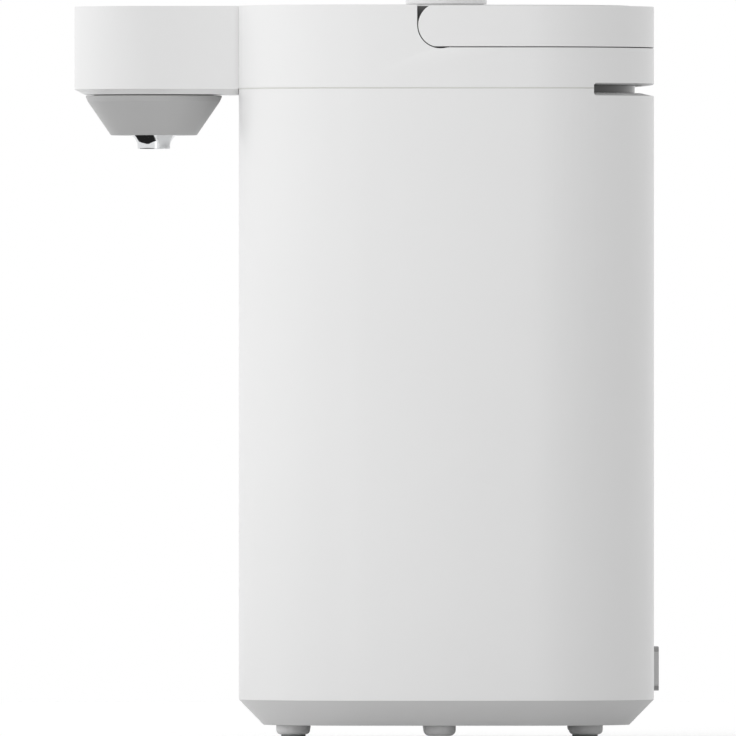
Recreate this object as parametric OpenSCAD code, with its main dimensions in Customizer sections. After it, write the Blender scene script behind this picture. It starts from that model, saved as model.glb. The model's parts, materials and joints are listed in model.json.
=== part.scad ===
// Electric thermo pot: a heated water pot in a moulded casing, with a dispensing beak at the front,
// a carry bail folded round the rear of the top, a hinged lid and a lid lock button.
// The front looks along -X, +Z is up, and the pads stand on z = 0.

/* [Body] */
// Depth of the body, front to rear
body_depth = 194; // [160:1:240]
// Width of the body, side to side
body_width = 194; // [160:1:240]
// Radius of the body's upright corners, seen from above
corner_r = 58; // [48:1:72]
// Height of the outer shell
shell_h = 285.3; // [200:0.1:360]
// Wall of the outer shell
shell_t = 2.4; // [1.6:0.1:3.2]
// Height of the seam groove between the shell and the top housing
seam_gap = 0.6; // [0.4:0.1:1.4]

/* [Base and feet] */
// Height of the base cover's sloping side
base_h = 11.8; // [9:0.1:16]
// How far the base cover's side slopes in
base_chamfer = 11.5; // [6:0.1:16]
// Wall of the base cover
base_t = 2.4; // [1.6:0.1:3.2]
// Height of the base above the floor
foot_h = 7; // [5.5:0.1:12]
// Diameter of a foot
foot_d = 15.9; // [12:0.1:22]
// Height of a rubber pad below its foot
pad_h = 2.6; // [1.5:0.1:4]
// Diameter of a rubber pad
pad_d = 11.2; // [8:0.1:14]
// Distance of the front feet from the body's front
foot_front = 25.4; // [22:0.1:40]
// Distance of the rear feet from the body's rear
foot_rear = 32; // [22:0.1:40]
// Distance of the feet from the body's sides
foot_side = 41; // [32:0.5:48]
// Diameter of the two stubs that stop the pot from tipping
stub_d = 15.2; // [12:0.1:20]
// Gap between a stub and the floor
stub_lift = 2.1; // [1:0.1:4]

/* [Top housing] */
// Height of the top housing above the seam
housing_h = 38.8; // [36:0.1:48]
// Wall of the top housing
housing_t = 2.4; // [1.8:0.1:3]
// Thickness of its top deck
deck_t = 2.4; // [1.8:0.1:3.2]
// Height of the rear vent slot at the outside
vent_h = 5.9; // [5:0.1:7]
// How far the vent slot reaches below the seam
vent_drop = 3.5; // [2.6:0.1:4]
// How far the vent slot's lower lip rises towards its rear wall
lower_lip = 1.4; // [0.4:0.1:1.6]
// How far the vent slot's upper lip drops towards its rear wall
upper_lip = 0.7; // [0.4:0.1:1.2]
// Height of the shell's inner shoulder below the seam
shoulder_drop = 2.7; // [2:0.1:4]
// Depth of the vent slot
vent_depth = 9; // [6:0.1:10]
// Where the vent slot starts, behind the body's axis
vent_start = 68.6; // [60:1:80]

/* [Dispensing beak] */
// Width of the beak
beak_w = 74.4; // [60:0.1:76]
// Reach of the beak in front of the body
beak_reach = 77.2; // [60:0.1:100]
// Width of the bevel along the beak's lower edge
bevel_w = 4.7; // [2:0.1:8]
// Height of that bevel
bevel_h = 2.4; // [1.6:0.1:4]
// Margin between the beak's side and the nozzle cone
cone_margin = 5; // [3:0.1:9]
// Height of the nozzle cone
cone_h = 18.6; // [14:0.1:26]
// Diameter of the cone's lower face
cone_low_d = 40.2; // [30:0.1:46]
// Height of the steep lip round the cone's top
cone_lip = 2.8; // [1:0.1:4]
// Height of the steel tip below the cone
tip_h = 6.4; // [4:0.1:12]
// Diameter of the steel tip
tip_d = 15.4; // [11:0.1:18]

/* [Carry handle] */
// Thickness of the handle, seen from above
handle_w = 11; // [8:0.1:14]
// Radius of the handle's round ends about its pivot
handle_end_r = 10.4; // [9:0.1:13]
// Depth of the pivot below the housing's top
pivot_drop = 9.6; // [8:0.1:10]
// How far the pivot stands forward of the body's axis
pivot_forward = 2.9; // [0:0.1:12]
// Drop of the handle's top below the housing's top
handle_sink = 0.5; // [0:0.1:1]
// Gap between the handle and its rebate
handle_gap = 0.45; // [0.3:0.05:0.8]
// Diameter of a handle pivot pin
handle_pin_d = 6; // [4:0.1:8]

/* [Lid] */
// Gap round the lid
lid_gap = 0.6; // [0.4:0.1:1]
// Thickness of the lid's visible edge
lid_edge = 6.6; // [6:0.1:8]
// Diameter of the hinge barrel
barrel_d = 11.2; // [9:0.1:11.6]
// Length of the hinge barrel
barrel_l = 60; // [40:1:66]
// Diameter of the hinge pin
hinge_pin_d = 4; // [3:0.1:5]
// Diameter of the steam cap
steam_d = 22; // [16:0.5:26]

/* [Lock button] */
// Diameter of the lock button
button_d = 38; // [30:0.5:44]
// Height of the button above the lid
button_proud = 3.5; // [3:0.1:5]
// Travel of the button
button_travel = 3; // [2:0.1:3.2]
// Movement of the lock bolt for each millimetre of the button
bolt_ratio = 1.3333; // [1:0.0001:1.5]
// Width of the lock bolt
bolt_w = 14; // [10:0.5:18]
// Thickness of the lock bolt
bolt_t = 5; // [4:0.1:6]

/* [Inner pot] */
// Space between the shell and the inner pot
pot_space = 14.6; // [14:0.1:24]
// Height of the inner pot
pot_h = 250; // [170:1:320]
// Sheet thickness of the inner pot
pot_t = 1; // [0.8:0.1:1.6]
// Thickness of the insulating jacket
jacket_t = 4; // [2:0.1:4.4]

/* [Water path] */
// Outer diameter of the riser tube
riser_d = 7; // [5:0.1:8]
// Wall of the riser tube
riser_t = 1; // [0.6:0.1:1.4]
// Wall of the outlet hose
hose_t = 1.4; // [1:0.1:2]
// Diameter of the pump head
pump_d = 32; // [28:0.5:36]
// Diameter of the pump motor
motor_d = 24; // [18:0.5:28]

/* [Power inlet] */
// Width of the inlet's flange
inlet_w = 31; // [28:0.5:36]
// Height of the inlet's flange
inlet_h = 20.6; // [18:0.1:24]
// How far the flange stands out of the shell
inlet_proud = 2.5; // [2:0.1:5]
// Height of the inlet's centre above the base's seam
inlet_rise = 14.1; // [13:0.1:24]
// Height of each dark rail at the inlet's top and bottom
rail_h = 2.3; // [1.5:0.1:3]
// Depth of the inlet's socket
socket_depth = 10; // [9:0.1:14]

/* [Hidden] */
$fn = 96;
eps = 0.01;
seat_gap = 0.3;     // between pieces that seat on each other
run_gap = 0.05;     // radial gap of a pin in its running bore
press_gap = 0.02;   // radial gap of a pin in the bore that holds it

half_d = body_depth / 2;
half_w = body_width / 2;
half_min = min(half_d, half_w);
beak_r = beak_w / 2;
beak_x = -half_d - beak_reach + beak_r;            // axis of the beak's round end and of the cone
tail = half_d + inlet_proud;
axis_x = (half_d + beak_reach - tail) / 2;          // body axis, with the origin midway front to rear

z_base = foot_h;
z_shell = z_base + base_h;
z_seam = z_shell + shell_h;
z_top = z_seam + housing_h;
z_shoulder = z_seam - shoulder_drop;                // top of the shell's shoulder, which carries the pot
z_slot = z_seam - vent_drop;                        // lower and upper edge of the vent slot outside
z_slot_top = z_slot + vent_h;
vent_corner = 1.4;
lip_depth = 6;                                      // depth over which the slot's lips close in
z_under = z_seam + seam_gap / 2;
shoulder_t = 2.4;
tongue_h = 2.4;
tongue_t = shell_t / 2;

pot_r = half_min - shell_t - pot_space;
z_pot = z_shoulder - pot_h;
flange_r = pot_r + 4;
gasket_t = 2;
z_ledge = z_shoulder + pot_t + gasket_t;
ledge_t = 2.9;
ledge_top = z_ledge + ledge_t;
liner_t = 2.4;

rebate_w = handle_w + 0.6;
collar_space = 2;
mouth_r = half_min - rebate_w - 2 * housing_t - collar_space;
lid_r = mouth_r - lid_gap;
ledge_r = mouth_r - 8.6;
pivot_x = -pivot_forward;
pivot_z = z_top - pivot_drop;
handle_low = pivot_z - handle_end_r + handle_gap;
handle_top = z_top - handle_sink;
plate_t = 1.2;                                      // wear plate at each pivot, let into the rebate's wall
plate_sink = 0.7;
plate_r = handle_end_r + handle_gap;

hinge_x = mouth_r - 2.6;
hinge_z = z_top - lid_edge + 0.6;
barrel_r = barrel_d / 2;
chord_x = hinge_x - barrel_r - 1;                   // straight rear edge of the lid
pocket_w = barrel_l + 14;
pocket_x = hinge_x + barrel_r + 0.8;
pocket_z = hinge_z - barrel_r - 2.4;
cover_t = 2.8;                                      // thickness of the lid cover's top
z_skirt = z_top - lid_edge;

well_r = button_d / 2 + 0.6;
well_floor = z_top - 6.8;
well_t = 2;
button_top = z_top + button_proud;
button_t = 2.6;
button_groove = 1.5;                                // shadow groove round the button's rim
button_skirt = well_floor + button_travel + 1;
stem_r = 4;
z_bolt = ledge_top + 12.4;                          // underside of the lock bolt
z_bolt_top = z_bolt + bolt_t;
wedge_top = z_bolt_top + 1;
wedge_h = 2 * stem_r / bolt_ratio;
wedge_low = wedge_top - wedge_h;
wedge_gap = 0.5;
bolt_tip = lid_r - 1;
seal_r = mouth_r - 4.1;
seal_in = ledge_r - 1.2;
z_seal = ledge_top + seat_gap;
z_lid_base = z_seal + 5.1;
lid_taper = 3.4;                                    // lets the lid's rear edge swing up inside the mouth
lid_base_r = mouth_r - 6.4;
steam_x = (well_r + well_t + chord_x) / 2;

cone_r = beak_r - cone_margin;
z_beak = z_seam - bevel_h;
z_flange = z_seam + 0.8;                            // top of the flange inside the beak's bevel
beak_cover_t = 2.2;
cover_gap = 0.2;
hook_w = 8;
hook_t = 1.4;
collar_t = 2.4;
collar_h = 5;
z_cone = z_beak - 0.4;
z_cone_low = z_cone - cone_h;
neck_r = cone_r - 4.2;
tip_r = tip_d / 2;
lip_lean = 0.9;
cone_t = 2.1;
spray_r = 2.4;                                      // bore of the tip
tip_seat = 6.6;
seat_h = 5;
stem_h = 15;
flare_h = 2.2;
flare_w = 2.1;
riser_r = riser_d / 2;
riser_x = -(half_min - shell_t - 1.6 - riser_r) - (half_d - half_min);
hose_in = riser_r + run_gap;
hose_r = hose_in + hose_t;
bend_r = 10;
z_hose = z_seam + 17.6;
z_joint = z_seam + 1.6;
panel_t = 1.4;
panel_margin = 9;
panel_l = 36;
pad_r = 1.5;                                        // touch sensor on the control board

pump_x = -pot_r + 26;
spout_l = 6;
port_r = 4.5;
heater_r = -pump_x - port_r - 3.5;
heater_t = 3;
element_t = 3.2;                                    // radius of the element's sheath
element_r = heater_r - 8;
thermostat_r = 8;
z_floor = z_base + base_t;
z_shield = z_pot - 13;
shield_t = 1;
shield_r = pot_r - 5;
z_pump = z_shield - 12.5;
pump_h = 11;
pump_t = 2;
pump_out = z_pump + 5.5;
elbow_r = 8;
inlet_z = z_shell + inlet_rise;
socket_w = inlet_w - 9.6;
socket_h = inlet_h - 8.2;
pin_space = 10;                                     // between the inlet's two pins
pin_r = 1.5;
pin_tail = 5;
pin_sink = 5.6;
board_z = z_floor + 7;
board_x = -7;
board_l = 70;
board_w = 54;
board_t = 1.6;
air_pitch = 11;                                     // slots for cooling air in the underside
air_l = 46;
air_w = 3.2;
foot_screw_r = 1.6;
foot_round = 2.2;
pad_seat = 1.2;                                     // depth of the pad's socket in its foot
stub_round = 3;
stub_inset = 5;                                     // from the underside's edge to a stub
white = [0.93, 0.93, 0.92];
grey = [0.68, 0.68, 0.68];
steel = [0.75, 0.76, 0.77];
dark = [0.2, 0.2, 0.21];

// Body axis at x = 0, as everything below is drawn
module on_axis() translate([axis_x, 0, 0]) children();

// Draws a flat outline in the XZ plane and carries it across the body
module across(w) rotate([90, 0, 0]) linear_extrude(w, center = true) children();

// Body outline from above: a square with round corners, set in by inset
module plan(inset = 0) {
    for (sx = [-1, 1], sy = [-1, 1])
        translate([sx * (half_d - corner_r), sy * (half_w - corner_r)]) circle(corner_r - inset);
    square([2 * (half_d - inset), 2 * (half_w - corner_r)], center = true);
    square([2 * (half_d - corner_r), 2 * (half_w - inset)], center = true);
}

module slab(z, top, inset = 0) translate([0, 0, z]) linear_extrude(top - z) plan(inset);

module ring_slab(z, top, outer, inner) difference() {
    slab(z, top, outer);
    slab(z - 1, top + 1, inner);
}

// Solid on the body outline whose sides lean from inset low to inset high
module leaning_slab(z, h, low, high) translate([0, 0, z]) {
    for (sx = [-1, 1], sy = [-1, 1])
        translate([sx * (half_d - corner_r), sy * (half_w - corner_r), 0])
            cylinder(h, corner_r - low, corner_r - high);
    across(2 * (half_w - corner_r)) leaning_outline(half_d, h, low, high);
    rotate([0, 0, 90]) across(2 * (half_d - corner_r)) leaning_outline(half_w, h, low, high);
}

module leaning_outline(half, h, low, high)
    polygon([[low - half, 0], [half - low, 0], [half - high, h], [high - half, h]]);

module tube(r_out, r_in, z, top) translate([0, 0, z]) difference() {
    cylinder(top - z, r = r_out);
    translate([0, 0, -1]) cylinder(top - z + 2, r = r_in);
}

module disc(r, z, top) translate([0, 0, z]) cylinder(top - z, r = r);

// Beak outline from above, running back into the body
module beak(inset = 0) {
    translate([beak_x, 0]) circle(beak_r - inset);
    translate([beak_x, inset - beak_r]) square([-half_d + corner_r - beak_x, 2 * (beak_r - inset)]);
}

module head_slab(z, top, inset = 0) translate([0, 0, z]) linear_extrude(top - z) {
    plan(inset);
    beak(inset);
}

// Rectangle with round corners, centred
module round_rect(w, h, r) {
    for (sx = [-1, 1], sy = [-1, 1]) translate([sx * (w / 2 - r), sy * (h / 2 - r)]) circle(r);
    square([w, h - 2 * r], center = true);
    square([w - 2 * r, h], center = true);
}

module at_feet() for (x = [foot_front - half_d, half_d - foot_rear], s = [-1, 1])
    translate([x, s * (half_w - foot_side), 0]) children();

// Space of the vent slot: round-ended in side view, with lips that close in towards its rear wall
module vent_space() difference() {
    across(body_width + 2) translate([vent_start + body_depth / 2, (z_slot + z_slot_top) / 2])
        round_rect(body_depth, vent_h, vent_corner);
    slab(z_slot - 1, z_slot_top + 1, vent_depth);
    leaning_slab(z_slot - eps, lower_lip, 0, lip_depth);
    leaning_slab(z_slot_top - upper_lip + eps, upper_lip, lip_depth, 0);
}

// Keeps what is drawn to the stretch behind the start of the vent slot
module behind_vent_start(x = vent_start) intersection() {
    children();
    translate([x, -half_w, z_slot - shoulder_t]) cube([half_d, body_width, vent_h + 3 * shoulder_t]);
}

module outer_shell() color(white) on_axis() difference() {
    union() {
        ring_slab(z_shell, z_seam - seam_gap / 2, 0, shell_t);
        behind_vent_start() ring_slab(z_shoulder - shoulder_t, z_slot + lower_lip, eps, vent_depth);
        ring_slab(z_shoulder - shoulder_t, z_seam + seam_gap / 2 + tongue_h, tongue_t + 0.1, shell_t);
        slab(z_shoulder - shoulder_t, z_shoulder, shell_t - eps);
    }
    disc(pot_r + 0.8, z_shoulder - shoulder_t - 1, z_shoulder + 1);
    translate([riser_x, 0, 0]) disc(riser_r + 0.8, z_shoulder - shoulder_t - 1, z_shoulder + 1);
    vent_space();
    translate([half_d, 0, inlet_z]) rotate([0, 90, 0])
        linear_extrude(3 * shell_t, center = true) round_rect(inlet_h - 4, inlet_w - 5, 2);
}

module base_cover() color(grey) on_axis() {
    lip = shell_t + seat_gap;
    lip_h = 4;
    difference() {
        union() {
            leaning_slab(z_base, base_h, base_chamfer, 0);
            slab(z_shell - 1, z_shell + lip_h, lip);
        }
        leaning_slab(z_floor, base_h - base_t + eps, base_chamfer + base_t / 2, lip + base_t);
        slab(z_shell, z_shell + lip_h + 1, lip + base_t);
        for (i = [-3:3]) translate([i * air_pitch + 4, 0, 0]) under_slot(air_l - 4 * abs(i), air_w);
        at_feet() disc(foot_screw_r, z_base - 1, z_floor + 1);
        translate([half_d - 20, -inlet_w / 2, z_shell + lip_h / 2]) cube([20, inlet_w, lip_h]);
    }
    for (p = shield_posts()) translate(p) disc(4, z_floor - eps, z_shield);
    for (p = board_posts()) translate(p) disc(3, z_floor - eps, board_z);
}

// Slot for cooling air through the underside
module under_slot(l, w) translate([0, 0, z_base - 1]) linear_extrude(base_t + 2) {
    square([w, l - w], center = true);
    for (s = [-1, 1]) translate([0, s * (l - w) / 2]) circle(w / 2);
}

function shield_posts() = [for (a = [60, 130, 230, 300]) (shield_r - 6) * [cos(a), sin(a)]];
function board_posts() = [for (sx = [-1, 1], sy = [-1, 1])
    [board_x + board_l / 2 + sx * (board_l / 2 - 5), sy * (board_w / 2 - 5)]];

// Round foot with a rounded lower edge and a socket for its pad
module feet() color(grey) on_axis() at_feet() difference() {
    rotate_extrude() intersection() {
        union() {
            translate([0, pad_h]) square([foot_d / 2 - foot_round, foot_h - pad_h]);
            translate([foot_d / 2 - foot_round, pad_h + foot_round]) circle(foot_round);
            translate([0, pad_h + foot_round]) square([foot_d / 2, foot_h - pad_h - foot_round]);
        }
        square([foot_d, foot_h]);
    }
    disc(pad_d / 2 + 0.1, 0, pad_h + pad_seat);
}

module foot_pads() color(dark) on_axis() at_feet() difference() {
    disc(pad_d / 2, 0, pad_h + pad_seat);
    tube(pad_d / 2 - 1.4, pad_d / 2 - 2.2, -1, 0.5);
}

module side_stubs() color(grey) on_axis()
    for (s = [-1, 1])
        translate([(foot_front - foot_rear) / 2, s * (half_w - base_chamfer - stub_d / 2 - stub_inset), 0])
            rotate_extrude() intersection() {
                union() {
                    translate([stub_d / 2 - stub_round, stub_lift + stub_round]) circle(stub_round);
                    translate([0, stub_lift]) square([stub_d / 2 - stub_round, foot_h]);
                    translate([0, stub_lift + stub_round]) square([stub_d / 2, foot_h]);
                }
                square([stub_d, foot_h]);
            }

// Side view of the handle's rebate, grown outward by grow
module rebate_outline(grow = 0) {
    r = handle_end_r + handle_gap + grow;
    translate([pivot_x, pivot_z]) circle(r);
    translate([pivot_x - r, pivot_z]) square([half_d + r + 40, pivot_drop + 5]);
    translate([pivot_x, pivot_z - handle_end_r - grow]) square([half_d + 40, 30]);
}

module top_housing() color(white) on_axis() difference() {
    union() {
        difference() {
            head_slab(z_under, z_top);
            head_slab(z_under - 1, z_top - deck_t, housing_t);
        }
        beak_bevel();
        tube(mouth_r + housing_t, mouth_r - eps, z_ledge, z_top - eps);
        tube(mouth_r + housing_t, ledge_r, z_ledge, ledge_top);
        intersection() {
            ring_slab(z_under, z_top - eps, eps, rebate_w + housing_t);
            across(body_width + 2) rebate_outline(housing_t);
        }
        behind_vent_start(vent_start - 6)
            ring_slab(z_slot_top - upper_lip, z_slot_top + housing_t, eps, rebate_w + housing_t);
        translate([chord_x - 6, -pocket_w / 2 - housing_t, pocket_z - housing_t])
            cube([half_d - rebate_w - chord_x + 5, pocket_w + 2 * housing_t, z_top - pocket_z]);
        for (s = [-1, 1]) translate([pivot_x, s * (half_w - rebate_w - housing_t + eps), pivot_z])
            rotate([s * 90, 0, 0]) cylinder(collar_space - 0.4, r = handle_pin_d / 2 + 2.5);
    }
    disc(mouth_r, ledge_top, z_top + 1);
    disc(ledge_r, z_ledge - 1, z_top);
    difference() {
        across(body_width + 2) rebate_outline();
        slab(z_seam, z_top + 1, rebate_w);
    }
    difference() {
        translate([0, -pocket_w / 2, pocket_z]) cube([pocket_x, pocket_w, 30]);
        for (s = [-1, 1]) hinge_lug(s);
    }
    at_hinge() cylinder(pocket_w + 2, r = hinge_pin_d / 2 + press_gap, center = true);
    ring_slab(z_seam, z_under + tongue_h + 0.3, tongue_t, shell_t + 0.2);
    vent_space();
    translate([-mouth_r - housing_t - 1, -bolt_w / 2 - 0.4, z_bolt - 0.4])
        cube([20, bolt_w + 0.8, bolt_t + 0.8]);
    for (s = [-1, 1]) translate([pivot_x, s * half_w, pivot_z]) rotate([90, 0, 0])
        cylinder(2 * (rebate_w + housing_t + collar_space), r = handle_pin_d / 2 + press_gap, center = true);
    for (s = [-1, 1]) pivot_recess(s, plate_t + 0.1, 0.1);
    translate([0, 0, z_top - panel_t]) linear_extrude(panel_t + 1) panel_outline(0.2);
}

// Recess for a pivot plate in the rebate's wall, on side s, grown all round by grow
module pivot_recess(s, depth, grow = 0) translate([0, s * (half_w - rebate_w - depth / 2 + eps), 0])
    across(depth + 2 * eps) intersection() {
        translate([pivot_x, pivot_z]) union() {
            circle(plate_r + grow);
            translate([-plate_r - grow, 0]) square([2 * (plate_r + grow), pivot_drop]);
        }
        translate([pivot_x - 2 * plate_r, pivot_z - handle_end_r])
            square([4 * plate_r, handle_end_r + pivot_drop - plate_sink + grow]);
    }

// Dark wear plates between the housing and the handle's pivot ends
module pivot_plates() color(dark) on_axis() for (s = [-1, 1]) difference() {
    pivot_recess(s, plate_t);
    translate([pivot_x, s * half_w, pivot_z]) rotate([90, 0, 0])
        cylinder(4 * rebate_w, r = handle_pin_d / 2 + press_gap, center = true);
}

module at_hinge() translate([hinge_x, 0, hinge_z]) rotate([90, 0, 0]) children();

// Round lug beside the hinge barrel, on side s
module hinge_lug(s) translate([0, s * (barrel_l / 2 + 0.5 + pocket_w / 2) / 2, 0]) at_hinge()
    cylinder((pocket_w - barrel_l) / 2 - 0.5 + eps, r = barrel_r, center = true);

// Dark liner of the vent slot, closed at its ends
module vent_liner() color(dark) on_axis() {
    liner_part(vent_depth, half_d);
    liner_part(shell_t + 0.2, liner_t);
}

// Stretch of the liner between two insets, depth long behind its closed end
module liner_part(inset, depth) intersection() {
    ring_slab(z_shoulder, z_slot_top - upper_lip, inset, vent_depth + 1.4);
    translate([vent_start - liner_t, -half_w, z_shoulder - 1]) cube([depth, body_width, vent_h + 2]);
}

module beak_slab(z, top, inset) intersection() {
    translate([0, 0, z]) linear_extrude(top - z) beak(inset);
    translate([-half_d - seat_gap - body_depth, -half_w, z]) cube([body_depth, body_width, top - z]);
}

// Bevelled lower edge of the beak, with a flange that the cover below snaps over
module beak_bevel() difference() {
    union() {
        translate([beak_x, 0, z_beak]) cylinder(bevel_h, beak_r - bevel_w, beak_r);
        translate([(beak_x - half_d - seat_gap) / 2, 0, z_beak]) rotate([0, 0, 90])
            across(-half_d - seat_gap - beak_x) polygon([
                [bevel_w - beak_r, 0], [beak_r - bevel_w, 0], [beak_r, bevel_h], [-beak_r, bevel_h]]);
        beak_slab(z_seam - eps, z_flange, 0);
    }
    beak_slab(z_beak - 1, z_flange + 1, bevel_w);
}

// Flat cover inside the bevel, with a collar round the cone's neck and hooks over the housing's flange
module beak_cover() color(white) on_axis() difference() {
    union() {
        beak_slab(z_beak, z_beak + beak_cover_t, bevel_w + cover_gap);
        translate([beak_x, 0, 0]) tube(neck_r + collar_t, neck_r + seat_gap, z_beak, z_seam + collar_h);
        for (x = [beak_x + 6, -half_d - 12], s = [-1, 1]) translate([x, 0, 0]) scale([1, s, 1])
            translate([-hook_w / 2, beak_r - bevel_w - cover_gap - hook_t, z_beak]) {
                cube([hook_w, hook_t, z_flange + 2 - z_beak]);
                translate([0, 0, z_flange + cover_gap - z_beak]) cube([hook_w, hook_t + 1, 2 - cover_gap]);
            }
    }
    translate([beak_x, 0, 0]) disc(neck_r + seat_gap, z_beak - 1, z_seam + collar_h + 1);
}

module panel_outline(grow = 0) {
    r = beak_r - panel_margin + grow;
    translate([beak_x, 0]) circle(r);
    translate([beak_x, -r]) square([panel_l + grow, 2 * r]);
}

module touch_panel() color(dark) on_axis()
    translate([0, 0, z_top - panel_t]) linear_extrude(panel_t) panel_outline();

module control_board() color([0.1, 0.35, 0.2]) on_axis() {
    z_board = z_top - deck_t - 3;
    translate([beak_x - 12, -22, z_board - board_t]) cube([50, 44, board_t]);
    for (i = [0:4]) translate([beak_x + 7 * i, 0, 0]) disc(pad_r, z_board - eps, z_top - deck_t - seat_gap);
}

// Hollow cone that hangs by its neck from the beak's cover and holds the steel tip
module nozzle_cone() color(grey) on_axis() translate([beak_x, 0, 0]) rotate_extrude()
    polygon([[tip_seat + 0.1, z_cone_low], [cone_low_d / 2, z_cone_low],
        [cone_r - lip_lean, z_cone - cone_lip], [cone_r, z_cone], [neck_r, z_cone],
        [neck_r, z_seam + 1], [neck_r - cone_t, z_seam + 1], [neck_r - cone_t, z_cone - cone_t],
        [cone_low_d / 2 - cone_t, z_cone_low + cone_t], [tip_seat + 0.1, z_cone_low + cone_t]]);

// Steel tip: flared where it leaves the cone, with a seat in the cone and a stem for the hose
module nozzle_tip() color(steel) on_axis() translate([beak_x, 0, 0]) rotate_extrude()
    polygon([[spray_r, z_cone_low - tip_h], [tip_r, z_cone_low - tip_h],
        [tip_r, z_cone_low - flare_h - 1.4], [tip_r + flare_w / 4, z_cone_low - flare_h],
        [tip_r + flare_w, z_cone_low], [tip_seat, z_cone_low], [tip_seat, z_cone_low + seat_h],
        [riser_r, z_cone_low + seat_h], [riser_r, z_cone_low + stem_h], [spray_r, z_cone_low + stem_h]]);

// Quarter bend in the XZ plane, from straight up at x = 0 to along -X
module bend(r, r_out, r_in) translate([-r, 0, 0]) rotate([90, 0, 0]) rotate_extrude(angle = 90)
    translate([r, 0]) difference() {
        circle(r_out);
        circle(r_in);
    }

module outlet_hose() color([0.85, 0.85, 0.83]) on_axis() {
    translate([riser_x, 0, 0]) tube(hose_r, hose_in, z_joint, z_hose - bend_r);
    translate([riser_x, 0, z_hose - bend_r]) bend(bend_r, hose_r, hose_in);
    translate([riser_x - bend_r, 0, z_hose]) rotate([0, -90, 0])
        tube(hose_r, hose_in, 0, riser_x - beak_x - 2 * bend_r);
    translate([beak_x, 0, z_hose - bend_r]) mirror([1, 0, 0]) bend(bend_r, hose_r, hose_in);
    translate([beak_x, 0, 0]) tube(hose_r, hose_in, z_cone_low + 6, z_hose - bend_r);
}

module riser_tube() color(steel) on_axis() {
    x_out = pump_x - pump_d / 2 - spout_l / 2;
    translate([riser_x, 0, 0]) tube(riser_r, riser_r - riser_t, pump_out + elbow_r, z_hose - bend_r);
    translate([riser_x, 0, pump_out + elbow_r]) mirror([1, 0, 0]) mirror([0, 0, 1])
        bend(elbow_r, riser_r, riser_r - riser_t);
    translate([x_out, 0, pump_out]) rotate([0, -90, 0])
        tube(riser_r, riser_r - riser_t, 0, x_out - riser_x - elbow_r);
}

// Half section of a cup with a round lower corner
module cup_outline(r, h, c) intersection() {
    union() {
        square([r - c, h]);
        translate([0, c]) square([r, h - c]);
        translate([r - c, c]) circle(c);
    }
    square([r, h]);
}

module inner_pot() color(steel) on_axis() difference() {
    union() {
        rotate_extrude() {
            translate([0, z_pot]) difference() {
                cup_outline(pot_r, pot_h + pot_t, 12);
                translate([0, pot_t]) cup_outline(pot_r - pot_t, pot_h + 1, 12 - pot_t);
            }
            translate([pot_r - pot_t, z_shoulder]) square([flange_r - pot_r + pot_t, pot_t]);
        }
        translate([pump_x, 0, 0]) disc(port_r, z_pot - 7, z_pot + eps);
    }
    translate([pump_x, 0, 0]) disc(port_r - 1, z_pot - 8, z_pot + 2);
}

module pot_gasket() color([0.8, 0.8, 0.78]) on_axis()
    tube(flange_r, pot_r - 4, z_shoulder + pot_t, z_ledge);

module insulating_jacket() color([0.85, 0.83, 0.75]) on_axis()
    tube(pot_r + seat_gap + jacket_t, pot_r + seat_gap, z_pot + 14, z_shoulder - shoulder_t - 2);

module heater_plate() color([0.8, 0.8, 0.8]) on_axis() disc(heater_r, z_pot - heater_t, z_pot);

module heater_element() color([0.35, 0.33, 0.3]) on_axis() {
    translate([0, 0, z_pot - heater_t - element_t - 0.1]) rotate([0, 0, 20]) rotate_extrude(angle = 320)
        translate([element_r, 0]) circle(element_t);
    for (a = [20, 340]) translate([element_r * cos(a), element_r * sin(a), 0])
        disc(1.6, z_shield + 3, z_pot - 6);
}

module thermostat() color([0.3, 0.3, 0.3]) on_axis() {
    disc(thermostat_r, z_pot - 7.6, z_pot - heater_t);
    for (s = [-1, 1]) translate([-0.4, s * 4 - 2, z_pot - 11]) cube([0.8, 4, 3.4 + eps]);
}

// Axial fuse whose leads stop short of the element's ring
module thermal_fuse() color([0.85, 0.8, 0.6]) on_axis() {
    fuse_x = (element_r - element_t + thermostat_r) / 2;
    lead_l = min(34, 2 * sqrt(pow(element_r - element_t - 1, 2) - pow(fuse_x, 2)));
    translate([-fuse_x, 0, z_pot - 5.6]) rotate([90, 0, 0]) {
        cylinder(14, r = 2.5, center = true);
        cylinder(lead_l, r = 0.6, center = true);
    }
}

module temperature_probe() color(steel) on_axis() translate([0, pot_r - 20, 0]) {
    disc(4, z_pot - 5, z_pot);
    disc(2.2, z_pot - 11, z_pot - 5 + eps);
}

module heat_shield() color(steel) on_axis() difference() {
    union() {
        disc(shield_r, z_shield, z_shield + shield_t);
        tube(shield_r, shield_r - shield_t, z_shield, z_shield + 6);
    }
    translate([pump_x, 0, 0]) disc(port_r + 3, z_shield - 1, z_shield + 10);
}

module suction_sleeve() color([0.85, 0.85, 0.83]) on_axis() translate([pump_x, 0, 0])
    tube(port_r + 2, port_r + run_gap, z_shield - 0.8, z_pot - 1);

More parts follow.
